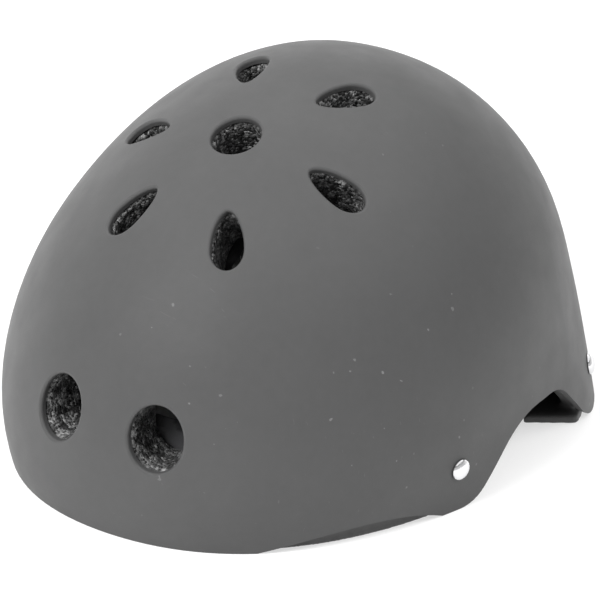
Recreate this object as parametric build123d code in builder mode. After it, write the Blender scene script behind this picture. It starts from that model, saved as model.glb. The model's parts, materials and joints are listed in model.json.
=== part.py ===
from build123d import *
from math import copysign, cos, radians, sin, tan
import os

# Skateboard helmet, in millimetres. The front faces -Y, the wearer's left is +X, and the helmet
# stands on its rim at Z = 0. Its dome is drawn in its own tilted frame, whose axis runs through
# the crown vent. Its straps are folded up inside it.

# Dome
half_width = 112.5
front_reach = 142.5
rear_reach = 127.5
crown_height = 110.0
equator_height = 45.0
equator_setback = 0.9
helmet_tilt = 22.0
skirt_depth = 104.0
rear_tuck_share = 0.19
side_flare_share = 0.065
front_power = 1.88
side_power = 1.87
rear_power = 2.14
plan_power = 2.14
section_points = 32
seam_angle = 60.0
skirt_sections = 7
dome_sections = 11
top_section_angle = 86.5

# Walls
shell_wall = 3.0
liner_wall = 22.0
fit_gap = 0.3
overrun = 5.0

# Rim, from the side: a shallow arch over the cheek and a deep one over the ear
cheek_arch_front = 112.0
cheek_arch_rear = 39.0
cheek_arch_rise = 7.5
ear_front = 21.0
ear_rear = 72.5
ear_height = 29.3
ear_front_slope = 45.0
ear_rear_slope = 44.5
ear_front_foot_radius = 20.0
ear_front_radius = 36.0
ear_rear_radius = 24.0
ear_rear_foot_radius = 26.0
liner_setback = 1.0

# Vents
vent_focus_depth = 48.0
crown_vent_radius = 10.8
petal_places = ((25.3, -47.7), (50.6, -1.0), (25.4, 45.5))
petal_half_width = 7.0
petal_inner_length = 17.6
petal_outer_length = 9.1
petal_offset = 2.6
petal_tip_share = 0.42
petal_side_share = 0.52
brow_vent_half_width = 12.3
brow_vent_half_height = 13.6
brow_vent_side = 24.9
brow_vent_level = 51.4
nape_vent_radius = 12.0
nape_vent_side = 24.5
nape_vent_level = -2.0
vent_edge_round = 1.2
liner_vent_lip = 0.5
vent_reach = 60.0
vent_mouth_reach = 20.0

# Rivets, placed in side view from the widest section, and what they hold
rivet_places = {"front": (-31.0, 19.5), "rear": (87.0, 17.6)}
rivet_head_radius = 4.8
rivet_head_height = 2.4
rivet_shank_radius = 2.2
rivet_tail_radius = 3.4
rivet_tail_height = 1.3
head_steps = 12
washer_radius = 6.0
washer_wall = 1.0
bore_clearance = 0.2

# Webbing
web_width = 20.0
web_wall = 1.6
web_floor = 0.8
web_bend = 1.2
web_head = 9.0
web_clear = 1.2
pocket_margin = 2.0
pocket_depth = 10.5
pocket_height = 33.0
groove_height = 3.4
hinge_inset = 6.0
hinge_gap = 0.7
end_gap = 1.3

# Folded V straps, in the plane that swings about the line between their two roots
strap_lean = 14.0
leg_reach = 92.0
leg_top_side = 13.0

# Strap divider
divider_half_wall = 2.8
divider_low = 82.0
divider_high = 103.0
divider_low_half = 30.0
divider_high_half = 21.0
divider_corner = 3.0
divider_round = 0.8
bar_radius = 1.5
bar_reach = 109.0
bar_offset = 2.0
arm_width = 3.0
arm_start = 97.0
arm_gap = 0.8
eye_clearance = 0.35

# Chin straps
chin_length = 70.0
buckle_bar_radius = 1.1

# Sliding adjuster and keeper, by their distance from the divider's bar
adjuster_place = 45.0
adjuster_length = 13.0
adjuster_wall = 1.4
keeper_place = 62.0
keeper_length = 4.0
keeper_wall = 1.2
slide_clearance = 0.35

# Buckle, from its bar downwards
buckle_half_width = 13.0
buckle_wall = 6.0
buckle_round = 1.2
buckle_yoke_drop = 3.7
yoke_wall = 5.0
plug_body_length = 6.5
prong_length = 24.0
prong_half_width = 1.8
prong_wall = 4.0
prong_barb = 2.2
prong_barb_length = 8.0
prong_side = 8.0
guide_half_width = 2.2
guide_length = 18.0
guide_wall = 2.4
socket_length = 26.0
socket_wall = 1.2
socket_floor = 6.0
window_start = 5.0
window_length = 10.0

# Comfort pads and the hook-and-loop spots that hold them
pad_wall = 8.0
pad_taper = 3.0
pad_round = 2.5
pad_corner = 9.0
spot_wall = 1.5
spot_radius = 9.0
spot_place_share = 0.5
forehead_pad_half = 66.0
forehead_pad_low = 10.0
forehead_pad_high = 44.0
nape_pad_half = 50.0
nape_pad_low = 14.0
nape_pad_high = 42.0
side_pad_front = -9.0
side_pad_rear = 55.0
side_pad_low = 46.0
side_pad_high = 86.0
crown_pad_half = 12.0
crown_pad_ring = 22.0
crown_pad_reach = 62.0
crown_spot_reach = 46.0
pad_start = 25.0
toe_height = 5.0
toe_outer = (107.0, 67.5)
toe_inner = (64.2, 36.5)
rebate_depth = 8.0
rebate_width = 9.0

helmet = Plane(
    origin=(0, equator_setback, equator_height),
    x_dir=(1, 0, 0),
    z_dir=(0, -sin(radians(helmet_tilt)), cos(radians(helmet_tilt))),
)
side_view = Plane(origin=(0, equator_setback, 0), x_dir=(0, 1, 0), z_dir=(1, 0, 0))
liner_outer_inset = shell_wall + fit_gap
liner_inner_inset = liner_outer_inset + liner_wall
far = front_reach + rear_reach


def profile(level, reach, height, power):
    """Reach of the dome at a level above its widest section"""
    if level <= 0:
        return reach
    return reach * (1 - (level / height) ** power) ** (1 / power)


def section_reaches(level, inset):
    """How far one section reaches to the side, front and rear"""
    height = crown_height - inset
    drop = (min(level, 0) / skirt_depth) ** 2
    tuck = rear_tuck_share * drop
    side = profile(level, half_width * (1 + side_flare_share * drop) - inset, height, side_power)
    front = profile(level, front_reach - inset, height, front_power)
    rear = profile(level, rear_reach * (1 - tuck) - inset, height, rear_power)
    return side, front, rear


def section_point(angle, level, inset):
    """Point of a section at an angle from the front"""
    side, front, rear = section_reaches(level, inset)
    reach = front if cos(angle) > 0 else rear
    across = copysign(abs(sin(angle)) ** (2 / plan_power), sin(angle))
    along = copysign(abs(cos(angle)) ** (2 / plan_power), cos(angle))
    return (side * across, -reach * along)


def across_at(along, level, inset):
    """Half width of a section at a place along it"""
    side, front, rear = section_reaches(level, inset)
    reach = front if along < 0 else rear
    return side * (1 - (abs(along) / reach) ** plan_power) ** (1 / plan_power)


def along_at(across, level, inset):
    """How far forward a section reaches at a distance from the middle"""
    side, front, rear = section_reaches(level, inset)
    return front * (1 - (abs(across) / side) ** plan_power) ** (1 / plan_power)


def level_over(across, along, inset):
    """Level of the dome over a place of its widest section"""
    low, high = 0, crown_height - inset
    for _ in range(section_points):
        middle = (low + high) / 2
        side, front, rear = section_reaches(middle, inset)
        reach = front if along < 0 else rear
        gauge = (abs(across) / side) ** plan_power + (abs(along) / reach) ** plan_power
        if gauge > 1:
            high = middle
        else:
            low = middle
    return low


def dome_solid(inset):
    """Closed dome, an inset inside the outer skin, down to the end of the skirt"""
    height = crown_height - inset
    levels = [-skirt_depth * (1 - step / skirt_sections) for step in range(skirt_sections)]
    for step in range(dome_sections):
        rise = radians(top_section_angle * step / (dome_sections - 1))
        levels.append(height * sin(rise))
    with BuildPart() as dome:
        for level in levels:
            with BuildSketch(helmet.offset(level)):
                with BuildLine():
                    points = []
                    for step in range(section_points):
                        angle = radians(seam_angle + 360 * step / section_points)
                        points.append(section_point(angle, level, inset))
                    Spline(points, periodic=True)
                make_face()
        loft()
    return dome.part


def ear_corners(grow):
    """The four corners of the ear cut-out in side view, grown on all sides"""
    front_turn = radians(ear_front_slope)
    rear_turn = radians(ear_rear_slope)
    front = -ear_front - grow / sin(front_turn)
    rear = ear_rear + grow / sin(rear_turn)
    top = ear_height + grow
    return [
        (front, 0),
        (front + top / tan(front_turn), top),
        (rear - top / tan(rear_turn), top),
        (rear, 0),
    ]


def rim_cutter(grow, arched):
    """Everything below the rim, as it shows from the side"""
    with BuildPart() as cutter:
        with BuildSketch(side_view):
            with BuildLine():
                start = (-far, 0)
                if arched:
                    Line(start, (-cheek_arch_front, 0))
                    arch_ends = (-cheek_arch_front, 0), (-cheek_arch_rear, 0)
                    SagittaArc(*arch_ends, cheek_arch_rise)
                    start = arch_ends[1]
                radii = [
                    ear_front_foot_radius,
                    ear_front_radius,
                    ear_rear_radius,
                    ear_rear_foot_radius,
                ]
                FilletPolyline(start, *ear_corners(grow), (far, 0), radius=radii)
                Polyline((far, 0), (far, -far), (-far, -far), (-far, 0))
            make_face()
        extrude(amount=far, both=True)
    return cutter.part


def vent_plane(across, along, level, level_axis):
    """Plane on the outer skin, square to its vent's axis, with Y to the crown"""
    place = helmet.from_local_coords(Vector(across, along, level))
    to_crown = Vector(-across, -along, 0)
    if to_crown.length == 0:
        to_crown = Vector(0, 1, 0)
    to_crown = helmet.from_local_coords(to_crown) - helmet.origin
    out = place - helmet.from_local_coords(Vector(0, 0, -vent_focus_depth))
    if level_axis:
        out = Vector(out.X, out.Y, 0)
    return Plane(origin=place, x_dir=to_crown.cross(out), z_dir=out)


def vent_places():
    """Every vent as its kind, its half width and half height, and its plane"""
    crown_size = (crown_vent_radius, crown_vent_radius)
    places = [("round", crown_size, vent_plane(0, 0, crown_height, False))]
    for across, along in petal_places:
        for hand in (1, -1):
            plane = vent_plane(hand * across, along, level_over(across, along, 0), False)
            places.append(("petal", (petal_half_width, petal_outer_length), plane))
    brow_size = (brow_vent_half_width, brow_vent_half_height)
    nape_size = (nape_vent_radius, nape_vent_radius)
    for hand in (1, -1):
        along = -along_at(brow_vent_side, brow_vent_level, 0)
        plane = vent_plane(hand * brow_vent_side, along, brow_vent_level, True)
        places.append(("round", brow_size, plane))
        side, front, rear = section_reaches(nape_vent_level, 0)
        along = rear * (1 - (nape_vent_side / side) ** plan_power) ** (1 / plan_power)
        plane = vent_plane(hand * nape_vent_side, along, nape_vent_level, True)
        places.append(("round", nape_size, plane))
    return places


def vent_cutter(kind, size, plane, lip):
    """Straight cutter through every wall at one vent"""
    side = size[0] - lip
    outer = size[1] - lip
    with BuildPart() as cutter:
        with BuildSketch(plane.offset(-vent_reach)):
            if kind == "round":
                Ellipse(side, outer)
            else:
                inner = petal_inner_length - lip
                tip = inner - petal_offset
                with BuildLine():
                    for hand in (1, -1):
                        Bezier(
                            (hand * side, -petal_offset),
                            (hand * side, petal_side_share * inner - petal_offset),
                            (hand * petal_tip_share * side, tip),
                            (0, tip),
                        )
                    EllipticalCenterArc(
                        (0, -petal_offset), side, outer, start_angle=180, arc_size=180
                    )
                make_face()
        extrude(amount=vent_reach + overrun)
    return cutter.part


def skin_point(y, z, inset):
    """Point of the left wall, from its place in side view"""
    local = helmet.to_local_coords(Vector(0, y + equator_setback, z))
    return Vector(across_at(local.Y, local.Z, inset), y + equator_setback, z)


def skin_normal(y, z):
    """Outward direction of the left wall, from its place in side view"""
    here = skin_point(y, z, 0)
    back = skin_point(y + fit_gap, z, 0) - here
    up = skin_point(y, z + fit_gap, 0) - here
    return back.cross(up).normalized()


class RivetSite:
    """Where one rivet sits on the left wall, and the directions around it"""

    def __init__(self, y, z):
        self.skin = skin_point(y, z, 0)
        self.normal = skin_normal(y, z)
        flat = Vector(self.normal.X, self.normal.Y, 0)
        self.slope = self.normal.Z / flat.length
        self.height = z
        self.inward = -flat.normalized()
        self.wall = self.depth_at(y, z, shell_wall)
        self.liner_depth = self.depth_at(y, z, liner_inner_inset) / flat.length
        foot = Vector(self.skin.X, self.skin.Y, 0)
        upright = self.inward.cross(Vector(0, 0, 1))
        self.side_plane = Plane(origin=foot, x_dir=self.inward, z_dir=upright)
        self.root = foot + self.inward * (self.liner_depth + hinge_inset)
        self.root = self.root + Vector(0, 0, web_floor + web_wall / 2)

    def depth_at(self, y, z, inset):
        """Depth of an inner skin below the outer one, along the rivet"""
        return (self.skin.X - skin_point(y, z, inset).X) * self.normal.X

    def skin_at(self, z):
        """How far inward the outer skin lies at a height"""
        return self.slope * (z - self.height)

    def turned(self, outline):
        """Solid turned about the rivet from an outline of radius and outward distance"""
        tangent = self.side_plane.z_dir
        with BuildPart() as turned_part:
            with BuildSketch(Plane(self.skin, tangent, tangent.cross(self.normal))):
                with BuildLine():
                    Polyline(*outline, close=True)
                make_face()
            revolve(axis=Axis(self.skin, self.normal))
        return turned_part.part


def both_sides(solid):
    """A solid of the left side with its mirror image"""
    with BuildPart() as pair:
        add(solid)
        mirror(about=Plane.YZ)
    return pair.part


def mirrored(solid):
    """The mirror image of a solid of the left side"""
    with BuildPart() as image:
        add(solid)
        mirror(about=Plane.YZ, mode=Mode.REPLACE)
    return image.part


sites = {name: RivetSite(*place) for name, place in rivet_places.items()}
front_root = sites["front"].root
rear_root = sites["rear"].root
strap_line = (rear_root - front_root).normalized()
strap_lean_out = strap_line.cross(Vector(0, 0, 1))
strap_up = Vector(0, 0, 1) * cos(radians(strap_lean)) - strap_lean_out * sin(radians(strap_lean))
strap_out = strap_line.cross(strap_up)
strap_middle = (rear_root + front_root) * 0.5
strap_plane = Plane(strap_middle, strap_line, strap_out)
strap_side = Plane(strap_middle, strap_out, strap_out.cross(strap_up))
root_side = (rear_root - front_root).length / 2

washer_start = web_clear + web_wall + fit_gap
tail_start = washer_start + washer_wall + fit_gap
eye_half_width = web_width / 2
chin_face = bar_offset + bar_radius + eye_clearance
chin_middle = chin_face + web_wall / 2
chin_end = bar_reach - chin_length
buckle_bar_offset = chin_face - eye_clearance - buckle_bar_radius
yoke_half_width = eye_half_width + arm_gap

vents = vent_places()

# Outer shell
with BuildPart() as outer_shell:
    add(dome_solid(0))
    add(dome_solid(shell_wall), mode=Mode.SUBTRACT)
    add(rim_cutter(0, True), mode=Mode.SUBTRACT)
    for kind, size, plane in vents:
        add(vent_cutter(kind, size, plane, 0), mode=Mode.SUBTRACT)
    skin = outer_shell.faces().sort_by(SortBy.AREA)[-1]
    mouths = []
    for edge in skin.edges():
        middle = edge @ 0.5
        if min((middle - plane.origin).length for kind, size, plane in vents) < vent_mouth_reach:
            mouths.append(edge)
    fillet(mouths, radius=vent_edge_round)
    for site in sites.values():
        hole_radius = rivet_shank_radius + bore_clearance
        bore = [(0, overrun), (hole_radius, overrun), (hole_radius, -overrun), (0, -overrun)]
        add(both_sides(site.turned(bore)), mode=Mode.SUBTRACT)

# Foam liner
with BuildPart() as toe:
    with BuildSketch(Plane.XY):
        with BuildLine():
            Polyline(
                toe_inner,
                toe_outer,
                (far, far),
                (0, far),
                close=True,
            )
        make_face()
    extrude(amount=toe_height)

with BuildPart() as liner_void:
    add(rim_cutter(liner_setback, False))
    add(both_sides(toe.part), mode=Mode.SUBTRACT)

with BuildPart() as ear_rebate:
    add(dome_solid(liner_outer_inset + rebate_depth))
    add(rim_cutter(liner_setback + rebate_width, False), mode=Mode.INTERSECT)
    add(both_sides(toe.part), mode=Mode.SUBTRACT)

with BuildPart() as eps_liner:
    add(dome_solid(liner_outer_inset))
    add(dome_solid(liner_inner_inset), mode=Mode.SUBTRACT)
    add(liner_void.part, mode=Mode.SUBTRACT)
    add(ear_rebate.part, mode=Mode.SUBTRACT)
    for kind, size, plane in vents:
        add(vent_cutter(kind, size, plane, liner_vent_lip), mode=Mode.SUBTRACT)
    for site in sites.values():
        with BuildPart(mode=Mode.PRIVATE) as strap_room:
            with BuildSketch(site.side_plane):
                with BuildLine():
                    Polyline(
                        (-overrun, -overrun),
                        (site.liner_depth + overrun, -overrun),
                        (site.liner_depth + overrun, groove_height),
                        (pocket_depth + site.skin_at(groove_height), groove_height),
                        (pocket_depth + site.skin_at(pocket_height), pocket_height),
                        (-overrun, pocket_height),
                        close=True,
                    )
                make_face()
            extrude(amount=web_width / 2 + pocket_margin, both=True)
        add(both_sides(strap_room.part), mode=Mode.SUBTRACT)

# Rivets and their washers
with BuildPart() as strap_rivets:
    for site in sites.values():
        tail_low = -site.wall - tail_start
        tail_end = tail_low - rivet_tail_height
        crown = fit_gap + rivet_head_height
        outline = [(0, crown)]
        for step in range(1, head_steps + 1):
            turn = radians(90 * step / head_steps)
            height = fit_gap + rivet_head_height * cos(turn)
            outline.append((rivet_head_radius * sin(turn), height))
        outline.append((rivet_shank_radius, fit_gap))
        outline.append((rivet_shank_radius, tail_low))
        outline.append((rivet_tail_radius, tail_low))
        outline.append((rivet_tail_radius, tail_end))
        outline.append((0, tail_end))
        add(both_sides(site.turned(outline)))

with BuildPart() as rivet_washers:
    for site in sites.values():
        near = -site.wall - washer_start
        bore_radius = rivet_shank_radius + bore_clearance
        outline = [
            (bore_radius, near),
            (washer_radius, near),
            (washer_radius, near - washer_wall),
            (bore_radius, near - washer_wall),
        ]
        add(both_sides(site.turned(outline)))

# Riveted strap ends: down behind the shell, then across the liner's groove
strap_ends = {}
for name, site in sites.items():
    top = site.height + web_head
    low = web_floor
    face = site.wall + web_clear
    end = site.liner_depth + hinge_inset + web_width / 2
    with BuildPart() as strap_end:
        with BuildSketch(site.side_plane):
            with BuildLine():
                outer_corner = (face + site.skin_at(low), low)
                inner_corner = (face + site.skin_at(low) + web_wall, low + web_wall)
                Polyline(
                    (face + site.skin_at(top), top),
                    outer_corner,
                    (end, low),
                    (end, low + web_wall),
                    inner_corner,
                    (face + site.skin_at(top) + web_wall, top),
                    close=True,
                )
            make_face()
            fillet(vertices().sort_by_distance(outer_corner)[0], radius=web_bend + web_wall)
            fillet(vertices().sort_by_distance(inner_corner)[0], radius=web_bend)
        extrude(amount=web_width / 2, both=True)
        bore_radius = rivet_shank_radius + bore_clearance
        bore = [(0, 0), (bore_radius, 0), (bore_radius, -pocket_depth), (0, -pocket_depth)]
        add(site.turned(bore), mode=Mode.SUBTRACT)
        with BuildSketch(strap_plane.offset(end_gap)):
            Rectangle(far, far)
        extrude(amount=-far, mode=Mode.SUBTRACT)
    strap_ends[name] = strap_end.part

def leg_solid(hand, grow):
    """One leg of the V, from its root up into the divider"""
    root = hand * root_side
    top = hand * leg_top_side
    half = web_width / 2 + grow
    with BuildPart() as leg:
        with BuildSketch(strap_plane):
            with BuildLine():
                Polyline(
                    (root - half, hinge_gap),
                    (root + half, hinge_gap),
                    (top + half, leg_reach + grow),
                    (top - half, leg_reach + grow),
                    close=True,
                )
            make_face()
        extrude(amount=web_wall / 2 + grow, both=True)
    return leg.part


def across_bar(offset_out, reach, radius, half):
    """Round bar across the strap, by its distance inward of the V and its reach"""
    with BuildPart() as bar:
        with BuildSketch(strap_side):
            with Locations((-offset_out, reach)):
                Circle(radius)
        extrude(amount=half, both=True)
    return bar.part


def upright_block(side, low, high, half_width_of, middle_out, half_wall):
    """Block in the plane of the V, from one height to another"""
    with BuildPart() as block:
        with BuildSketch(strap_plane.offset(-middle_out)):
            with Locations((side, (low + high) / 2)):
                Rectangle(2 * half_width_of, high - low)
        extrude(amount=half_wall, both=True)
    return block.part


def sleeve(place, length, wall):
    """Band around the chin strap, by its distance from the divider's bar"""
    middle = strap_middle + strap_up * (bar_reach - place)
    room = web_wall / 2 + slide_clearance
    room_half = web_width / 2 + slide_clearance
    with BuildPart() as band:
        with BuildSketch(Plane(middle, strap_line, strap_up)):
            with Locations((0, chin_middle)):
                RectangleRounded(2 * (room_half + wall), 2 * (room + wall), radius=wall)
                Rectangle(2 * room_half, 2 * room, mode=Mode.SUBTRACT)
        extrude(amount=length / 2, both=True)
    return band.part


def buckle_yoke():
    """Bar and cheeks that hang a buckle half in the eye of its strap"""
    half = (buckle_half_width - yoke_half_width) / 2
    with BuildPart() as yoke:
        add(across_bar(buckle_bar_offset, chin_end, buckle_bar_radius, buckle_half_width))
        for hand in (-1, 1):
            side = hand * (yoke_half_width + half)
            low = chin_end - buckle_yoke_drop - buckle_round
            high = chin_end + buckle_bar_radius
            add(upright_block(side, low, high, half, buckle_bar_offset, yoke_wall / 2))
    return yoke.part


front_leg = leg_solid(-1, 0)
rear_leg = leg_solid(1, 0)

# Strap divider: a flat moulding over both legs, with the bar that carries the chin strap
with BuildPart() as strap_divider:
    with BuildSketch(strap_plane):
        with BuildLine():
            Polyline(
                (-divider_low_half, divider_low),
                (divider_low_half, divider_low),
                (divider_high_half, divider_high),
                (-divider_high_half, divider_high),
                close=True,
            )
        make_face()
        fillet(vertices(), radius=divider_corner)
    extrude(amount=divider_half_wall, both=True)
    for face in faces().filter_by(Axis((0, 0, 0), strap_out)):
        fillet(face.edges(), radius=divider_round)
    for hand in (-1, 1):
        add(leg_solid(hand, fit_gap), mode=Mode.SUBTRACT)
        side = hand * (yoke_half_width + arm_width / 2)
        add(upright_block(side, arm_start, bar_reach, arm_width / 2, bar_offset, bar_radius))
    add(across_bar(bar_offset, bar_reach, bar_radius, yoke_half_width + arm_width))

# Chin strap, with an eye at each end
with BuildPart() as chin_strap:
    with BuildSketch(strap_side):
        with Locations((-chin_middle, (bar_reach + chin_end) / 2)):
            Rectangle(web_wall, chin_length)
        eyes = (bar_offset, bar_reach, bar_radius), (buckle_bar_offset, chin_end, buckle_bar_radius)
        for eye_offset, eye_reach, pin_radius in eyes:
            with Locations((-eye_offset, eye_reach)):
                Circle(pin_radius + eye_clearance + web_wall)
                Circle(pin_radius + eye_clearance, mode=Mode.SUBTRACT)
    extrude(amount=web_width / 2, both=True)

# Sliding adjuster and keeper
chin_adjuster = sleeve(adjuster_place, adjuster_length, adjuster_wall)
strap_keeper = sleeve(keeper_place, keeper_length, keeper_wall)

# Buckle plug with its two sprung prongs
body_top = chin_end - buckle_yoke_drop
plug_low = body_top - plug_body_length
with BuildPart() as buckle_plug:
    with BuildSketch(strap_plane.offset(-buckle_bar_offset)):
        with Locations((0, (body_top + plug_low) / 2)):
            RectangleRounded(2 * buckle_half_width, plug_body_length, radius=buckle_round)
    extrude(amount=buckle_wall / 2, both=True)
    guide_low = plug_low - guide_length
    add(upright_block(0, guide_low, body_top, guide_half_width, buckle_bar_offset, guide_wall / 2))
    add(buckle_yoke())

prongs = []
prong_top = plug_low - fit_gap - prong_half_width
prong_low = prong_top - prong_length
for hand in (-1, 1):
    with BuildPart() as prong:
        with BuildSketch(strap_plane.offset(-buckle_bar_offset)):
            side = hand * prong_side
            edge_side = hand * (prong_side + prong_half_width)
            with Locations((side, prong_top)):
                Circle(prong_half_width)
            with Locations((side, (prong_top + prong_low) / 2)):
                Rectangle(2 * prong_half_width, prong_length)
            with BuildLine():
                Polyline(
                    (side, prong_low),
                    (edge_side, prong_low),
                    (edge_side + hand * prong_barb, prong_low + prong_barb_length / 2),
                    (edge_side, prong_low + prong_barb_length),
                    (side, prong_low + prong_barb_length),
                    close=True,
                )
            make_face()
        extrude(amount=prong_wall / 2, both=True)
    prongs.append(prong.part)

# Buckle socket, open at its end and at both sides
socket_low = body_top - socket_length
socket_half_wall = prong_wall / 2 + fit_gap + socket_wall
room_half_wall = prong_wall / 2 + fit_gap
with BuildPart() as buckle_socket:
    with BuildSketch(strap_plane.offset(-buckle_bar_offset)):
        with Locations((0, (body_top + socket_low) / 2)):
            RectangleRounded(2 * buckle_half_width, socket_length, radius=buckle_round)
    extrude(amount=socket_half_wall, both=True)
    room_high = body_top - socket_floor
    room_side = buckle_half_width - socket_wall
    room_low = socket_low - overrun
    add(
        upright_block(0, room_low, room_high, room_side, buckle_bar_offset, room_half_wall),
        mode=Mode.SUBTRACT,
    )
    window_low = socket_low + window_start
    window_high = window_low + window_length
    window_side = buckle_half_width + overrun
    add(
        upright_block(0, window_low, window_high, window_side, buckle_bar_offset, room_half_wall),
        mode=Mode.SUBTRACT,
    )
    add(buckle_yoke())

# Comfort pads, and the hook-and-loop spots that hold them on the liner
spot_inset = liner_inner_inset + fit_gap
pad_inset = spot_inset + spot_wall + fit_gap
forehead_view = Plane((0, -front_reach, 0), (-1, 0, 0), (0, 1, 0))
nape_view = Plane((0, front_reach, 0), (1, 0, 0), (0, -1, 0))
side_pad_view = Plane((half_width, 0, 0), (0, -1, 0), (-1, 0, 0))
crown_view = Plane(helmet.offset(crown_height).origin, helmet.x_dir, -helmet.z_dir)
pad_reach = half_width - pad_start
side_pad_length = side_pad_rear - side_pad_front
side_pad_centre = -(side_pad_rear + side_pad_front) / 2

with BuildPart() as pad_layer:
    add(dome_solid(pad_inset))
    add(dome_solid(pad_inset + pad_wall), mode=Mode.SUBTRACT)


def pad_from(prism):
    """Pad cut from the pads' layer by its prism, with its inner edge rounded"""
    with BuildPart() as pad:
        add(pad_layer.part)
        add(prism, mode=Mode.INTERSECT)
        inner = pad.faces().sort_by(SortBy.AREA)[-2]
        fillet(inner.edges(), radius=pad_round)
    return pad.part


def box_prism(view, centre, length, height):
    """Rounded outline that draws in toward the head"""
    with BuildPart() as prism:
        with BuildSketch(view):
            with Locations(centre):
                RectangleRounded(length, height, radius=pad_corner)
        extrude(amount=pad_reach, taper=pad_taper)
    return prism.part


forehead_middle = (forehead_pad_low + forehead_pad_high) / 2
forehead_height = forehead_pad_high - forehead_pad_low
nape_middle = (nape_pad_low + nape_pad_high) / 2
nape_height = nape_pad_high - nape_pad_low
side_middle = (side_pad_low + side_pad_high) / 2
side_height = side_pad_high - side_pad_low
forehead_pad = pad_from(
    box_prism(forehead_view, (0, forehead_middle), 2 * forehead_pad_half, forehead_height)
)
nape_pad = pad_from(box_prism(nape_view, (0, nape_middle), 2 * nape_pad_half, nape_height))
side_pad = pad_from(
    box_prism(side_pad_view, (side_pad_centre, side_middle), side_pad_length, side_height)
)

with BuildPart() as crown_prism:
    with BuildSketch(crown_view):
        Circle(crown_pad_ring)
        RectangleRounded(2 * crown_pad_half, 2 * crown_pad_reach, radius=pad_corner)
        fillet(vertices().group_by(SortBy.DISTANCE)[0], radius=pad_corner)
        Circle(crown_vent_radius + pad_round, mode=Mode.SUBTRACT)
    extrude(amount=pad_reach)
crown_pad = pad_from(crown_prism.part)

forehead_spot = spot_place_share * forehead_pad_half
nape_spot = spot_place_share * nape_pad_half
spot_places = [
    (forehead_view, [(-forehead_spot, forehead_middle), (forehead_spot, forehead_middle)]),
    (nape_view, [(-nape_spot, nape_middle), (nape_spot, nape_middle)]),
    (crown_view, [(0, -crown_spot_reach), (0, crown_spot_reach)]),
]
with BuildPart() as spot_pegs:
    for view, places in spot_places:
        with BuildSketch(view):
            with Locations(*places):
                Circle(spot_radius)
        extrude(amount=pad_reach)

with BuildPart() as side_pegs:
    with BuildSketch(side_pad_view):
        for hand in (-1, 1):
            shift = hand * spot_place_share * side_pad_length / 2
            with Locations((side_pad_centre + shift, side_middle)):
                Circle(spot_radius)
    extrude(amount=pad_reach)

with BuildPart() as hook_spots:
    add(dome_solid(spot_inset))
    add(dome_solid(spot_inset + spot_wall), mode=Mode.SUBTRACT)
    add([spot_pegs.part, both_sides(side_pegs.part)], mode=Mode.INTERSECT)

pieces = {
    "outer_shell": outer_shell.part,
    "eps_liner": eps_liner.part,
    "strap_rivets": strap_rivets.part,
    "rivet_washers": rivet_washers.part,
    "hook_spots": hook_spots.part,
    "forehead_pad": forehead_pad,
    "nape_pad": nape_pad,
    "crown_pad": crown_pad,
    "side_pad_left": side_pad,
    "side_pad_right": mirrored(side_pad),
    "strap_end_front_left": strap_ends["front"],
    "strap_end_front_right": mirrored(strap_ends["front"]),
    "strap_end_rear_left": strap_ends["rear"],
    "strap_end_rear_right": mirrored(strap_ends["rear"]),
    "front_strap_left": front_leg,
    "front_strap_right": mirrored(front_leg),
    "rear_strap_left": rear_leg,
    "rear_strap_right": mirrored(rear_leg),
    "strap_divider_left": strap_divider.part,
    "strap_divider_right": mirrored(strap_divider.part),
    "chin_strap_left": chin_strap.part,
    "chin_strap_right": mirrored(chin_strap.part),
    "chin_adjuster": chin_adjuster,
    "strap_keeper": strap_keeper,
    "buckle_plug": buckle_plug.part,
    "buckle_prong_front": prongs[0],
    "buckle_prong_rear": prongs[1],
    "buckle_socket": mirrored(buckle_socket.part),
}
os.makedirs("parts", exist_ok=True)
for node, solid in pieces.items():
    solid.label = node
    export_step(solid, f"parts/{node}.step")
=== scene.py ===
"""A skateboard helmet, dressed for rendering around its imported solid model.

Everything is in metres, in the frame of the solid model: the front faces -Y and +Z is up.
"""

import json
import math

import bmesh
import bpy
import numpy as np
from mathutils import Matrix, Vector


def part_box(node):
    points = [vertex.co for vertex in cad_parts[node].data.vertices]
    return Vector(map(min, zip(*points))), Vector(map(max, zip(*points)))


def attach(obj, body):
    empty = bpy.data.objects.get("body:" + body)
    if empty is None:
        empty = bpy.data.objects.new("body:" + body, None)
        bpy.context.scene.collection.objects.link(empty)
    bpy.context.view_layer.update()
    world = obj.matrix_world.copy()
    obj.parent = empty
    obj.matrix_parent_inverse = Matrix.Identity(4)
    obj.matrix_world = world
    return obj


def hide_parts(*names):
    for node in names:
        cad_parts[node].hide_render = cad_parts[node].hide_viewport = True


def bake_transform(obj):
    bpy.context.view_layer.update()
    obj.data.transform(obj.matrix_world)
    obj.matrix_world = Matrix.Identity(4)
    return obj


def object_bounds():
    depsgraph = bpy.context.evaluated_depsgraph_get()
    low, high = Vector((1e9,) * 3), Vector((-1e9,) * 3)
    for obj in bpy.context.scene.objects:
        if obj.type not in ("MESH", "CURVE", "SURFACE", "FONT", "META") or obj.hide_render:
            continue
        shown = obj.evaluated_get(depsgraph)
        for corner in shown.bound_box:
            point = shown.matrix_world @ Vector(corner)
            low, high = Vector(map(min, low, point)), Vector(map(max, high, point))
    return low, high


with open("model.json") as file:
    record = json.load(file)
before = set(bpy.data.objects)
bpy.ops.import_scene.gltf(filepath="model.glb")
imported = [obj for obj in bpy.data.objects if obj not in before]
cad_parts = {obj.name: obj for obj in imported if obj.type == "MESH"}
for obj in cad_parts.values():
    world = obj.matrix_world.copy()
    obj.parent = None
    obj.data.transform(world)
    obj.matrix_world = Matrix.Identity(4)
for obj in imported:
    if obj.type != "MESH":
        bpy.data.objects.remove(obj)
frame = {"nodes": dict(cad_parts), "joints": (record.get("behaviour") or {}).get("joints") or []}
cad_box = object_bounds()
nodes = frame["nodes"]

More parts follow.
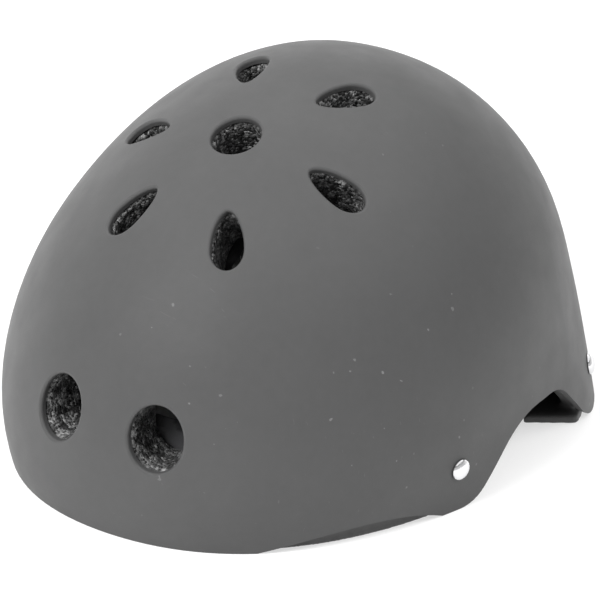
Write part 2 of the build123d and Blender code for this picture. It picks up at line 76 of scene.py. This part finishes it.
# The middle of the dome lies this far behind the frame's origin.
SETBACK = 0.0009


# Materials: small helpers

# A mix node's sockets for colours, whose names its other sockets share
MIX_A, MIX_B, MIX_RESULT = 6, 7, 2


class Graph:
    """A node tree with short calls for the nodes used here. Scales are in repeats per metre."""

    def __init__(self, tree, space):
        self.tree = tree
        self.spot = self.add("ShaderNodeTexCoord").outputs[space]

    def add(self, kind, **settings):
        node = self.tree.nodes.new(kind)
        for key, value in settings.items():
            setattr(node, key, value)
        return node

    def put(self, socket, value):
        """Feed a socket from another socket or with a plain value."""
        if isinstance(value, bpy.types.NodeSocket):
            self.tree.links.new(value, socket)
        else:
            socket.default_value = value

    def split(self, vector):
        """The three parts of a vector."""
        node = self.add("ShaderNodeSeparateXYZ")
        self.put(node.inputs[0], vector)
        return node.outputs

    def vector(self, operation, a, b=None, output="Vector"):
        node = self.add("ShaderNodeVectorMath", operation=operation)
        self.put(node.inputs[0], a)
        if b is not None:
            self.put(node.inputs[1], b)
        return node.outputs[output]

    def along(self, axis):
        """How far the shaded spot lies along an axis."""
        return self.vector("DOT_PRODUCT", self.spot, axis, output="Value")

    def reach(self, centre, radii):
        """Distance from a centre, where 1 is the edge of an ellipse in plan."""
        offset = self.vector("SUBTRACT", self.spot, centre)
        squash = self.vector("MULTIPLY", offset, (1 / radii[0], 1 / radii[1], 0.0))
        return self.vector("LENGTH", squash, output="Value")

    def noise(self, scale, detail=2.0, rough=0.5, at=None):
        node = self.add("ShaderNodeTexNoise")
        self.put(node.inputs["Vector"], at or self.spot)
        node.inputs["Scale"].default_value = scale
        node.inputs["Detail"].default_value = detail
        node.inputs["Roughness"].default_value = rough
        return node.outputs["Fac"]

    def cells(self, scale, feature="F1", output="Distance"):
        node = self.add("ShaderNodeTexVoronoi", feature=feature)
        self.put(node.inputs["Vector"], self.spot)
        node.inputs["Scale"].default_value = scale
        return node.outputs[output]

    def wave(self, scale, axis, distort):
        node = self.add("ShaderNodeTexWave", wave_type="BANDS", bands_direction=axis)
        self.put(node.inputs["Vector"], self.spot)
        node.inputs["Scale"].default_value = scale
        node.inputs["Distortion"].default_value = distort
        return node.outputs["Fac"]

    def ramp(self, value, *stops, smooth=False):
        """Colour ramp through stops of place and tone. A tone is a number or three."""
        node = self.add("ShaderNodeValToRGB")
        self.put(node.inputs["Fac"], value)
        ramp = node.color_ramp
        if smooth:
            ramp.interpolation = "EASE"
        while len(ramp.elements) < len(stops):
            ramp.elements.new(0.5)
        for element, (place, tone) in zip(ramp.elements, stops):
            element.position = place
            tone = tone if isinstance(tone, tuple) else (tone, tone, tone)
            element.color = (*tone, 1.0)
        return node.outputs["Color"]

    def math(self, operation, a, b=None):
        node = self.add("ShaderNodeMath", operation=operation)
        self.put(node.inputs[0], a)
        if b is not None:
            self.put(node.inputs[1], b)
        return node.outputs[0]

    def mix(self, share, a, b, blend="MIX"):
        node = self.add("ShaderNodeMix", data_type="RGBA", blend_type=blend)
        self.put(node.inputs["Factor"], share)
        for index, value in ((MIX_A, a), (MIX_B, b)):
            if isinstance(value, (int, float)):
                value = (value, value, value, 1.0)
            elif isinstance(value, tuple):
                value = (*value, 1.0)
            self.put(node.inputs[index], value)
        return node.outputs[MIX_RESULT]


class Surface(Graph):
    """The node tree of a new material."""

    def __init__(self, name):
        self.material = bpy.data.materials.new(name)
        self.material.use_nodes = True
        super().__init__(self.material.node_tree, "Object")
        self.shader = self.tree.nodes["Principled BSDF"]

    def bump(self, height, strength, depth, under=None):
        """Bump of a depth in metres, over another bump if there is one."""
        node = self.add("ShaderNodeBump")
        node.inputs["Strength"].default_value = strength
        node.inputs["Distance"].default_value = depth
        self.put(node.inputs["Height"], height)
        if under is not None:
            self.put(node.inputs["Normal"], under)
        return node.outputs["Normal"]

    def done(self, colour, rough, normal=None, **sockets):
        """Connect the shader, set its named sockets and return the material."""
        self.put(self.shader.inputs["Base Color"], colour)
        self.put(self.shader.inputs["Roughness"], rough)
        if normal is not None:
            self.put(self.shader.inputs["Normal"], normal)
        for name, value in sockets.items():
            self.shader.inputs[name.replace("_", " ")].default_value = value
        return self.material


# Materials: tones from dark to pale

SHELL_TONES = (0.042, 0.042, 0.0422), (0.050, 0.050, 0.0502)
DUST_TONE, DUST_SHARE = 0.3, 0.3
RUB_TONE, RUB_SHARE = 0.22, 0.12
BEAD_SEAM_TONE = 0.5
SKIN_TONES = 0.05, 0.1
FOOT_TONES = 0.022, 0.034
RIVET_TONES = (0.72, 0.72, 0.73), (0.82, 0.82, 0.83)
STEEL_TONES = 0.42, 0.56
KNIT_TONES = (0.034, 0.034, 0.036), (0.058, 0.058, 0.061)
FLUFF_GAIN, FLUFF_SHARE = 2.2, 0.35
WEBBING_TONES = (0.006, 0.006, 0.007), (0.03, 0.03, 0.032)
FUZZ_TONE, FUZZ_SHARE = 0.12, 0.12
MOULDING_TONES = 0.012, 0.018
HOOK_TONES = 0.008, 0.05
FLOOR_TONES = 0.34, 0.37

# Materials: sizes and places

BEAD_SCALE = 880.0
KNIT_SCALE = 700.0
HOOK_SCALE = 1500.0
# The heights over which the foam's dark foot turns to skin, and its skin to beads
FOOT_TOP = 0.006, 0.011
SKIN_TOP = 0.030, 0.036
# The weave of the webbing, in radians per metre, and the depth of its chevron in radians
CHEVRON_TURN = 620.0
CHEVRON_DEPTH = 2.2
RIB_TURN = 3600.0
WARP_TURN = 5200.0
# Each point of a pad keeps its distance from the pad's outline under this name.
SEAM_GAP = "seam_gap"


def shell_material():
    """Matte moulded shell: faint mottling, fine texture, a few dust specks and rub marks."""
    g = Surface("shell_plastic")
    dark, pale = SHELL_TONES
    mottle = g.mix(0.4, g.noise(16.0, 3.0), g.noise(260.0, 3.0))
    tone = g.ramp(mottle, (0.3, dark), (0.7, pale))

    specks = g.ramp(g.noise(330.0, 1.0, 0.4), (0.775, 0.0), (0.79, 1.0))
    dusty = g.ramp(g.noise(9.0), (0.5, 0.0), (0.62, 1.0))
    dust = g.math("MULTIPLY", specks, dusty)
    tone = g.mix(g.math("MULTIPLY", dust, DUST_SHARE), tone, DUST_TONE)

    # Rub marks are noise drawn out into short lines.
    slide = g.add("ShaderNodeMapping")
    g.put(slide.inputs["Vector"], g.spot)
    slide.inputs["Rotation"].default_value = (0.4, 0.9, 0.5)
    slide.inputs["Scale"].default_value = (1.0, 26.0, 5.0)
    lines = g.ramp(g.noise(70.0, 1.0, 0.4, slide.outputs[0]), (0.76, 0.0), (0.78, 1.0))
    rubbed = g.ramp(g.noise(13.0), (0.52, 0.0), (0.6, 1.0))
    rub = g.math("MULTIPLY", lines, rubbed)
    tone = g.mix(g.math("MULTIPLY", rub, RUB_SHARE), tone, RUB_TONE)

    rough = g.ramp(g.noise(70.0, 4.0), (0.3, 0.46), (0.7, 0.54))
    normal = g.bump(g.noise(2600.0, 2.0, 0.6), 0.14, 0.0002)
    normal = g.bump(g.noise(700.0, 2.0), 0.06, 0.0003, normal)
    return g.done(tone, rough, normal, Specular_IOR_Level=0.5)


def foam_material():
    """Black expanded beads, each a little different, with painted pale glints; moulded smooth low
    down.
    """
    g = Surface("bead_foam")
    edge = g.cells(BEAD_SCALE, "DISTANCE_TO_EDGE")
    tint = g.add("ShaderNodeSeparateColor")
    g.put(tint.inputs[0], g.cells(BEAD_SCALE, output="Color"))
    patch = g.noise(190.0, 3.0, 0.6)
    # The beads differ a little in their own dark tone; the palest ones are painted glints,
    # highlight put into the colour.
    tone = g.ramp(tint.outputs[0], (0.0, 0.006), (0.4, 0.02), (0.75, 0.085), (1.0, 0.3))
    seam = g.ramp(edge, (0.0, 0.3), (0.16, 0.0))
    seam = g.math("MULTIPLY", seam, g.ramp(patch, (0.46, 0.0), (0.62, 1.0)))
    tone = g.mix(seam, tone, BEAD_SEAM_TONE)
    tone = g.mix(1.0, tone, g.ramp(patch, (0.36, 0.35), (0.66, 1.0)), "MULTIPLY")

    height = g.split(g.spot)[2]
    low = g.ramp(height, (SKIN_TOP[0], 1.0), (SKIN_TOP[1], 0.0))
    foot = g.ramp(height, (FOOT_TOP[0], 1.0), (FOOT_TOP[1], 0.0))
    skin = g.ramp(g.noise(420.0, 3.0, 0.6), (0.35, SKIN_TONES[0]), (0.65, SKIN_TONES[1]))
    sole = g.ramp(g.noise(300.0, 3.0), (0.3, FOOT_TONES[0]), (0.7, FOOT_TONES[1]))
    tone = g.mix(low, tone, g.mix(foot, skin, sole))

    rough = g.ramp(tint.outputs[1], (0.0, 0.22), (1.0, 0.6))
    rough = g.mix(low, rough, 0.38)
    dome = g.ramp(g.cells(BEAD_SCALE), (0.0, 1.0), (0.9, 0.0), smooth=True)
    dome = g.mix(low, dome, 0.5)
    normal = g.bump(dome, 0.8, 0.0006)
    normal = g.bump(g.noise(2600.0), 0.2, 0.0002, normal)
    return g.done(tone, rough, normal, Specular_IOR_Level=0.5)


def chrome_material():
    """Polished rivet heads with a little wear."""
    g = Surface("polished_rivet")
    dark, pale = RIVET_TONES
    wear = g.noise(700.0, 3.0)
    rough = g.ramp(wear, (0.35, 0.09), (0.75, 0.2))
    tone = g.ramp(g.noise(160.0), (0.3, dark), (0.7, pale))
    return g.done(tone, rough, g.bump(wear, 0.05, 0.0001), Metallic=1.0)


def steel_material():
    """Washers with the streaks of rolled sheet."""
    g = Surface("washer_steel")
    dark, pale = STEEL_TONES
    streak = g.wave(900.0, "Z", 3.0)
    tone = g.ramp(streak, (0.0, dark), (1.0, pale))
    rough = g.ramp(streak, (0.0, 0.3), (1.0, 0.42))
    return g.done(tone, rough, g.bump(streak, 0.06, 0.0001), Metallic=1.0)


def knit_material():
    """Knitted cover: fine loops in two directions, a little fluff and a welded line."""
    g = Surface("pad_knit")
    dark, pale = KNIT_TONES
    across = g.wave(KNIT_SCALE, "X", 1.2)
    along = g.wave(KNIT_SCALE, "Z", 1.2)
    loops = g.math("MULTIPLY", across, along)
    fluff = g.noise(2200.0, 3.0, 0.7)
    fluff_tone = tuple(FLUFF_GAIN * c for c in pale)
    tone = g.ramp(g.noise(35.0, 3.0), (0.3, dark), (0.7, pale))
    tone = g.mix(g.math("MULTIPLY", fluff, FLUFF_SHARE), tone, fluff_tone)
    gap = g.add("ShaderNodeAttribute", attribute_name=SEAM_GAP).outputs["Fac"]
    centimetres = g.math("MULTIPLY", gap, 100.0)
    weld = g.ramp(centimetres, (0.14, 1.0), (0.22, 0.3), (0.34, 1.0))
    tone = g.mix(1.0, tone, weld, "MULTIPLY")
    normal = g.bump(loops, 0.35, 0.0004)
    normal = g.bump(fluff, 0.35, 0.0004, normal)
    normal = g.bump(weld, 0.5, 0.0005, normal)
    return g.done(
        tone, 0.92, normal, Specular_IOR_Level=0.25, Sheen_Weight=0.25, Sheen_Roughness=0.5
    )


def webbing_material(name, axes=None):
    """Woven tape: ribs across and a chevron along, laid out on its UVs or on given axes."""
    g = Surface(name)
    if axes is None:
        side, run = g.split(g.add("ShaderNodeUVMap").outputs["UV"])[:2]
    else:
        side, run = (g.along(axis) for axis in axes)
    place = g.add("ShaderNodeCombineXYZ")
    g.put(place.inputs[0], side)
    g.put(place.inputs[1], run)
    slant = g.math("ABSOLUTE", g.math("SINE", g.math("MULTIPLY", side, CHEVRON_TURN)))
    chevron = g.math("MULTIPLY", slant, CHEVRON_DEPTH)
    shift = g.math("ADD", g.math("MULTIPLY", run, RIB_TURN), chevron)
    ribs = g.math("ADD", g.math("MULTIPLY", g.math("SINE", shift), 0.5), 0.5)
    warp = g.math("SINE", g.math("MULTIPLY", side, WARP_TURN))
    weave = g.math("MULTIPLY", ribs, g.math("ADD", g.math("MULTIPLY", warp, 0.25), 0.75))
    dark, pale = WEBBING_TONES
    tone = g.ramp(weave, (0.0, dark), (0.9, pale))
    fuzz = g.noise(3000.0, 2.0, at=place.outputs[0])
    tone = g.mix(g.math("MULTIPLY", fuzz, FUZZ_SHARE), tone, FUZZ_TONE)
    normal = g.bump(weave, 0.6, 0.0004)
    normal = g.bump(fuzz, 0.2, 0.0002, normal)
    return g.done(tone, 0.72, normal, Specular_IOR_Level=0.35)


def moulding_material():
    """Black moulded plastic of the buckle and the guides."""
    g = Surface("moulded_black")
    dark, pale = MOULDING_TONES
    grain = g.noise(1800.0, 3.0, 0.6)
    tone = g.ramp(g.noise(90.0), (0.3, dark), (0.7, pale))
    rough = g.ramp(g.noise(300.0, 3.0), (0.3, 0.38), (0.7, 0.5))
    return g.done(tone, rough, g.bump(grain, 0.12, 0.0002), Specular_IOR_Level=0.45)


def hook_material():
    """Hook tape that holds the pads."""
    g = Surface("hook_tape")
    dark, pale = HOOK_TONES
    hooks = g.cells(HOOK_SCALE)
    tone = g.ramp(hooks, (0.1, pale), (0.6, dark))
    return g.done(tone, 0.8, g.bump(hooks, 0.9, 0.0006), Specular_IOR_Level=0.3)


def dress(material, *names):
    """Give CAD nodes a material."""
    for name in names:
        materials = nodes[name].data.materials
        materials.clear()
        materials.append(material)


foam = foam_material()
knit = knit_material()
webbing = webbing_material("webbing")

dress(shell_material(), "outer_shell")
dress(chrome_material(), "strap_rivets")
dress(steel_material(), "rivet_washers")
dress(hook_material(), "hook_spots")
dress(
    moulding_material(),
    "chin_adjuster",
    "strap_keeper",
    "buckle_plug",
    "buckle_prong_front",
    "buckle_prong_rear",
    "buckle_socket",
    "strap_divider_left",
    "strap_divider_right",
)


# Mesh helpers


def vertex_values(mesh, kind="co"):
    """One row of three numbers for each vertex."""
    values = np.zeros(len(mesh.vertices) * 3)
    mesh.vertices.foreach_get(kind, values)
    return values.reshape(-1, 3)


def new_object(name, mesh):
    piece = bpy.data.objects.new(name, mesh)
    bpy.context.collection.objects.link(piece)
    return piece


def bare_copy(node, name):
    """A new object with a CAD node's mesh and no material."""
    mesh = nodes[node].data.copy()
    mesh.materials.clear()
    return new_object(name, mesh)


def modify(piece, kind, **settings):
    """Add a modifier."""
    modifier = piece.modifiers.new(kind.lower(), kind)
    for key, value in settings.items():
        setattr(modifier, key, value)


def apply_modifiers(piece):
    graph = bpy.context.evaluated_depsgraph_get()
    mesh = bpy.data.meshes.new_from_object(piece.evaluated_get(graph))
    piece.modifiers.clear()
    piece.data = mesh


# Straps: where they run is read from the joints and from the left side's solids

FLIP = Vector((-1, 1, 1))

joints = {joint["name"]: joint for joint in frame["joints"]}
# A V swings about the line between its two roots, and stands up from the middle of it.
STRAP_LINE = -Vector(joints["left_v_swing"]["axis"])
STRAP_MIDDLE = Vector(joints["left_v_swing"]["pos_m"])
STRAP_UP = Vector(joints["adjuster_slide"]["axis"])

WEB = 0.0200
WEB_THICK = 0.0016
TAPE_WIDTH = WEB * 0.97
# Points along a tape for each point of its path
TAPE_STEPS = 8
# The cross section of a tape: turns round a selvedge in degrees, and places across a face
SELVEDGE_TURNS = -70, -35, 0, 35, 70
FACE_SHARES = 0.6, 0.2, -0.2, -0.6

# From the middle of a V to each root and to each leg's top, and from its roots to its tops
roots_reach = (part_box("rear_strap_left")[1].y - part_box("front_strap_left")[0].y) / 2
ROOT_SIDE = roots_reach / STRAP_LINE.y - WEB / 2
TOP_SIDE = 0.0130
LEG_REACH = 0.0905

# A riveted end hangs down the liner and bends inwards at this height.
CORNER_Z = 0.0052
# How its direction is searched, in degrees, and which of its points are its top and its bend
TURN_STEP = 0.25
TOP_BAND = 0.0004
TOP_INSET = 0.0002
BEND_BELOW = 0.0090

# Past the bend: depth and height on the way to level, and how far the level stretch reaches
BEND_WAY = 0.0009, 0.0011
BEND_END = 0.0032
LEVEL_REACH = 0.0110
# At the root: where the tape starts to turn up, how it turns, and where its hinge starts
ROOT_BEND = 0.0032
ROOT_RISE = 0.0004
ROOT_LEAN = 0.0008
HINGE_REACH = 0.0040
# Between these points of its path, the tape turns from across the end to across the leg.
TWIST_FROM, TWIST_TO = 5, 7


def strap_end_frame(node):
    """Where a riveted strap end lies.

    The directions across and into it, a point in its middle, and the depth and height of its
    top and of its bend.
    """
    co = vertex_values(nodes[node].data)
    turns = np.radians(np.arange(0, 180, TURN_STEP))
    reach = co[:, :2] @ np.stack([np.cos(turns), np.sin(turns)])
    widths = reach.max(0) - reach.min(0)
    best = widths.argmin()
    across = Vector((math.cos(turns[best]), math.sin(turns[best]), 0))
    middle = (reach[:, best].max() + reach[:, best].min()) / 2
    inward = Vector((across.y, -across.x, 0))
    if inward.x > 0:
        inward = -inward
    if across.dot(STRAP_LINE) < 0:
        across, middle = -across, -middle
    depth = co[:, :2] @ np.array(inward.xy)
    top_z = co[:, 2].max()
    top_in = depth[co[:, 2] > top_z - TOP_BAND].mean()
    corner_in = depth[co[:, 2] < BEND_BELOW].min()
    top = (float(top_in), float(top_z) - TOP_INSET)
    corner = (float(corner_in) + WEB_THICK / 2, CORNER_Z)
    return across, inward, across * middle, top, corner


def smooth_line(points):
    """Smooth line through points."""
    ends = [2 * points[0] - points[1]] + points + [2 * points[-1] - points[-2]]
    line = []
    for n in range(len(points) - 1):
        a, b, c, d = ends[n : n + 4]
        for step in range(TAPE_STEPS):
            t = step / TAPE_STEPS
            twice = 2 * b + (c - a) * t
            twice += (2 * a - 5 * b + 4 * c - d) * t * t
            twice += (3 * b - a - 3 * c + d) * t * t * t
            line.append(0.5 * twice)
    line.append(points[-1])
    return line


def tape_section():
    """Points round a tape's cross section, with rounded selvedges."""
    half, depth = TAPE_WIDTH / 2, WEB_THICK / 2
    section = []
    for turn in SELVEDGE_TURNS:
        angle = math.radians(turn)
        section.append((half - depth + depth * math.cos(angle), depth * math.sin(angle)))
    for share in FACE_SHARES:
        section.append((share * half, depth))
    return section + [(-x, -y) for x, y in section]


def tape(name, line, across):
    """Woven tape along a line, with UVs in metres."""
    section = tape_section()
    count = len(section)
    bm = bmesh.new()
    uv = bm.loops.layers.uv.new("UVMap")
    rings = []
    places = []
    run = 0.0
    for n, point in enumerate(line):
        before, after = line[max(n - 1, 0)], line[min(n + 1, len(line) - 1)]
        if n:
            run += (point - line[n - 1]).length
        tangent = (after - before).normalized()
        side = across[n].normalized()
        normal = side.cross(tangent).normalized()
        rings.append([bm.verts.new(point + side * x + normal * y) for x, y in section])
        places.append(run)
    for n in range(len(rings) - 1):
        for k in range(count):
            m = (k + 1) % count
            corners = ((n, k), (n, m), (n + 1, m), (n + 1, k))
            face = bm.faces.new([rings[ring][spot] for ring, spot in corners])
            face.smooth = True
            for loop, (ring, spot) in zip(face.loops, corners):
                loop[uv].uv = (section[spot][0], places[ring])
    bm.faces.new(rings[0][::-1])
    bm.faces.new(rings[-1])
    bmesh.ops.recalc_face_normals(bm, faces=bm.faces)
    mesh = bpy.data.meshes.new(name)
    bm.to_mesh(mesh)
    bm.free()
    mesh.materials.append(webbing)
    return new_object(name, mesh)


def on_v(side, up):
    """A point in the plane of the left V, from the middle of its hinge line."""
    return STRAP_MIDDLE + STRAP_LINE * side + STRAP_UP * up


def v_strap(which, hand_side):
    """One leg of a V with its riveted end, as one tape that bends at its root."""
    sign = -1 if which == "front" else 1
    end_across, inward, foot, top, corner = strap_end_frame(f"strap_end_{which}_left")
    level_z = STRAP_MIDDLE.z
    root = on_v(sign * ROOT_SIDE, 0)

    def in_end(depth, height):
        return foot + inward * depth + Vector((0, 0, height))

    level_end = in_end(corner[0] + LEVEL_REACH, level_z)
    to_end = (level_end - root).normalized()
    path = [
        in_end(*top),
        in_end((top[0] + corner[0]) / 2, (top[1] + corner[1]) / 2),
        in_end(*corner),
        in_end(corner[0] + BEND_WAY[0], level_z + BEND_WAY[1]),
        in_end(corner[0] + BEND_END, level_z),
        level_end,
        root + to_end * ROOT_BEND,
        root + Vector((0, 0, ROOT_RISE)),
        on_v(sign * (ROOT_SIDE - ROOT_LEAN), ROOT_BEND),
        on_v(sign * (ROOT_SIDE * 0.5 + TOP_SIDE * 0.5), LEG_REACH / 2),
        on_v(sign * TOP_SIDE, LEG_REACH),
    ]
    line = smooth_line(path)
    across = []
    for n in range(len(line)):
        twist = (n / TAPE_STEPS - TWIST_FROM) / (TWIST_TO - TWIST_FROM)
        if twist < 0:
            across.append(end_across)
        elif twist < 1:
            across.append(end_across.lerp(STRAP_LINE, twist).normalized())
        else:
            across.append(STRAP_LINE)
    start = root + to_end * HINGE_REACH
    end = Vector(root)
    if hand_side == "right":
        line = [point * FLIP for point in line]
        across = [-(side * FLIP) for side in across]
        start, end = start * FLIP, end * FLIP
    piece = tape(f"{which}_webbing_{hand_side}", line, across)
    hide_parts(f"strap_end_{which}_{hand_side}", f"{which}_strap_{hand_side}")
    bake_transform(piece)


for hand_side in ("left", "right"):
    for which in ("front", "rear"):
        v_strap(which, hand_side)
    axes = (STRAP_LINE, STRAP_UP)
    if hand_side == "right":
        axes = [axis * FLIP for axis in axes]
    dress(webbing_material(f"webbing_chin_{hand_side}", axes), f"chin_strap_{hand_side}")


# Pads: swollen, fabric-covered foam

# The middle of the head, which the pads face
HEAD = np.array((0.0, SETBACK, 0.030))
PAD_THICK = 0.0080
PAD_SWELL = 0.0016
PAD_VOXEL = 0.0021
# The welded flange's thickness and reach, and where the swelling is full
FLANGE = 0.0017
FLANGE_REACH = 0.0032
CROWN_REACH = 0.0150
CROWN_POWER = 0.8
# How much a point faces the head, below which it is on the back, or within which on the edge
BACK_FACING = -0.6
EDGE_FACING = 0.4
EDGE_HEIGHT = 0.0040
HEIGHT_LIMIT = 1.05
# Points for which distances are worked out at a time
CHUNK = 1000


def nearest(points, targets):
    """Index of and distance to the nearest target of each point."""
    found = np.zeros(len(points), dtype=int)
    gaps = np.zeros(len(points))
    for start in range(0, len(points), CHUNK):
        part = points[start : start + CHUNK]
        square = ((part[:, None, :] - targets[None, :, :]) ** 2).sum(2)
        found[start : start + CHUNK] = square.argmin(1)
        gaps[start : start + CHUNK] = np.sqrt(square.min(1))
    return found, gaps


def pad(node):
    """Knit-covered foam: a thin welded flange round a swollen middle, on the liner's curve."""
    piece = bare_copy(node, node + "_cover")
    modify(piece, "REMESH", mode="VOXEL", voxel_size=PAD_VOXEL)
    modify(piece, "LAPLACIANSMOOTH", iterations=4, lambda_factor=0.5, use_volume_preserve=False)
    apply_modifiers(piece)
    mesh = piece.data
    co = vertex_values(mesh)
    normals = vertex_values(mesh, "normal")
    inward = HEAD - co
    inward /= np.linalg.norm(inward, axis=1)[:, None]
    facing = (normals * inward).sum(1)
    back = facing < BACK_FACING
    base, base_normals = co[back], normals[back]
    under, height = nearest(co, base)
    edge = co[(np.abs(facing) < EDGE_FACING) & (height < EDGE_HEIGHT)]
    gap = nearest(base, edge)[1][under]
    rise = np.clip((gap - FLANGE_REACH) / (CROWN_REACH - FLANGE_REACH), 0, 1)
    crown = FLANGE + (PAD_THICK + PAD_SWELL - FLANGE) * np.sin(rise * math.pi / 2) ** CROWN_POWER
    share = np.clip(height / PAD_THICK, 0, HEIGHT_LIMIT)
    drop = height - share * crown
    co = co + base_normals[under] * drop[:, None]
    mesh.vertices.foreach_set("co", co.ravel())
    mesh.update()
    seam = mesh.attributes.new(SEAM_GAP, "FLOAT", "POINT")
    seam.data.foreach_set("value", gap)
    modify(piece, "SMOOTH", iterations=4, factor=0.5)
    modify(piece, "SUBSURF", levels=1, render_levels=1)
    apply_modifiers(piece)
    piece.data.materials.append(knit)
    piece.data.shade_smooth()
    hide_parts(node)
    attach(piece, "helmet")


for name in ("forehead_pad", "nape_pad", "crown_pad", "side_pad_left", "side_pad_right"):
    pad(name)


# Liner: moulded foam

LINER_VOXEL = 0.0013
# The share of the faces that is kept, because the voxels are many
LINER_FACES = 0.3
# The rounded lower edge is pressed flat on the floor over this height and depth.
FOOT_HEIGHT = 0.0100
FOOT_DROP = 0.0013
FOOT_GAP = 0.0002


def moulded_liner():
    """The liner with the rounded edges that moulded foam has."""
    piece = bare_copy("eps_liner", "foam_liner")
    modify(piece, "REMESH", mode="VOXEL", voxel_size=LINER_VOXEL)
    modify(piece, "SMOOTH", iterations=8, factor=0.5)
    apply_modifiers(piece)
    co = vertex_values(piece.data)
    near_floor = 1 - np.clip(co[:, 2] / FOOT_HEIGHT, 0, 1)
    co[:, 2] = np.maximum(co[:, 2] - FOOT_DROP * near_floor, FOOT_GAP)
    piece.data.vertices.foreach_set("co", co.ravel())
    modify(piece, "DECIMATE", ratio=LINER_FACES)
    apply_modifiers(piece)
    piece.data.materials.append(foam)
    piece.data.shade_smooth()
    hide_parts("eps_liner")
    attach(piece, "helmet")


moulded_liner()


# Stage: a pale floor with painted light, a glow round the helmet that lifts the shadow it casts
# and a faint glow under it that lights its inside, and a studio with a bright back and ceiling

FLOOR_HALF = 6.0
FLOOR_DROP = 0.0003
# Strength of the floor's glow, painted light on the stage
FLOOR_GLOW = 0.62
# The painted glow under the helmet, which lights its inside, lies this much further forward, and
# has this share of the rest's.
UNDER_SHIFT = 0.05
UNDER_SHARE = 0.25

SKY_STRENGTH = 1.5
SKY_BACK = -0.59, 0.81, 0

LIGHT_AIM = Vector((0, 0, 0.08))
LIGHT_SIZE = 1.2


def floor_material(reach_x, reach_y):
    """White sweep with painted light: it glows round the helmet, where the helmet's shadow falls,
    and faintly under it, which lights the helmet's inside.
    """
    g = Surface("pale_floor_painted_glow")
    outer = g.reach((0, 0, 0), (reach_x, reach_y))
    # Painted light: the floor glows fully from near the helmet's edge outwards, which lifts the
    # shadow the helmet casts.
    outer_glow = g.ramp(outer, (0.70, 0.0), (0.86, 1.0), smooth=True)
    under = g.reach((0, -UNDER_SHIFT, 0), (reach_x, reach_y + UNDER_SHIFT))
    # Painted light: a faint glow under the helmet lights its inside.
    under_glow = g.ramp(under, (0.45, 0.0), (0.75, UNDER_SHARE))
    glow = g.math("MAXIMUM", outer_glow, under_glow)
    g.put(g.shader.inputs["Emission Color"], glow)
    dark, pale = FLOOR_TONES
    tone = g.ramp(g.noise(3.0), (0.3, dark), (0.7, pale))
    return g.done(tone, 0.9, Emission_Strength=FLOOR_GLOW)


quarters = (-1, -1), (1, -1), (1, 1), (-1, 1)
corners = [(x * FLOOR_HALF, y * FLOOR_HALF, 0) for x, y in quarters]
floor_mesh = bpy.data.meshes.new("floor")
floor_mesh.from_pydata(corners, [], [(0, 1, 2, 3)])
floor_mesh.materials.append(floor_material(cad_box[1].x, cad_box[1].y))
floor = new_object("floor", floor_mesh)
floor.location = (0, 0, -FLOOR_DROP)

world = bpy.data.worlds.new("studio")
bpy.context.scene.world = world
world.use_nodes = True
sky = Graph(world.node_tree, "Generated")
height_glow = sky.ramp(
    sky.along((0, 0, 1)),
    (0.0, 0.8),
    (0.38, 0.8),
    (0.5, 0.32),
    (0.62, 0.3),
    (0.72, 1.4),
    (1.0, 1.25),
)
back_glow = sky.ramp(sky.along(SKY_BACK), (0.0, 0.55), (1.0, 1.25))
background = sky.tree.nodes["Background"]
sky.put(background.inputs["Color"], sky.mix(1.0, height_glow, back_glow, "MULTIPLY"))
background.inputs["Strength"].default_value = SKY_STRENGTH
bpy.context.scene.view_settings.view_transform = "Standard"


def look_at(place, aim):
    """Rotation of a lamp or camera at a place that looks at a point."""
    return (aim - Vector(place)).to_track_quat("-Z", "Y")


def soft_light(name, place, power):
    """A round lamp that the gloss of the helmet doesn't mirror."""
    data = bpy.data.lights.new(name, "AREA")
    data.shape = "DISK"
    data.size = LIGHT_SIZE
    data.energy = power
    lamp = new_object(name, data)
    lamp.location = place
    lamp.rotation_euler = look_at(place, LIGHT_AIM).to_euler()
    lamp.visible_glossy = False


soft_light("front_light", (-0.4, -1.4, 1.3), 60.0)
soft_light("side_light", (1.5, 0.5, 1.6), 28.0)


# Camera: the photograph's view

CAMERA_PLACE = 1.21686, -1.67492 + SETBACK, 1.05558
CAMERA_AIM = Vector((0.0, SETBACK, 0.0729))
CAMERA_ROLL = 0.3
SENSOR, LENS = 36.0, 321.2
SHIFT_X, SHIFT_Y = 0.0117, -0.0651

camera_data = bpy.data.cameras.new("camera")
camera_data.sensor_fit = "HORIZONTAL"
camera_data.sensor_width = SENSOR
camera_data.lens = LENS
camera_data.clip_end = 100.0
camera_data.shift_x = SHIFT_X
camera_data.shift_y = SHIFT_Y
camera = new_object("camera", camera_data)
bpy.context.scene.camera = camera
camera.location = CAMERA_PLACE
roll = Matrix.Rotation(math.radians(CAMERA_ROLL), 4, "Z")
view = look_at(CAMERA_PLACE, CAMERA_AIM).to_matrix().to_4x4() @ roll
camera.rotation_euler = view.to_euler()
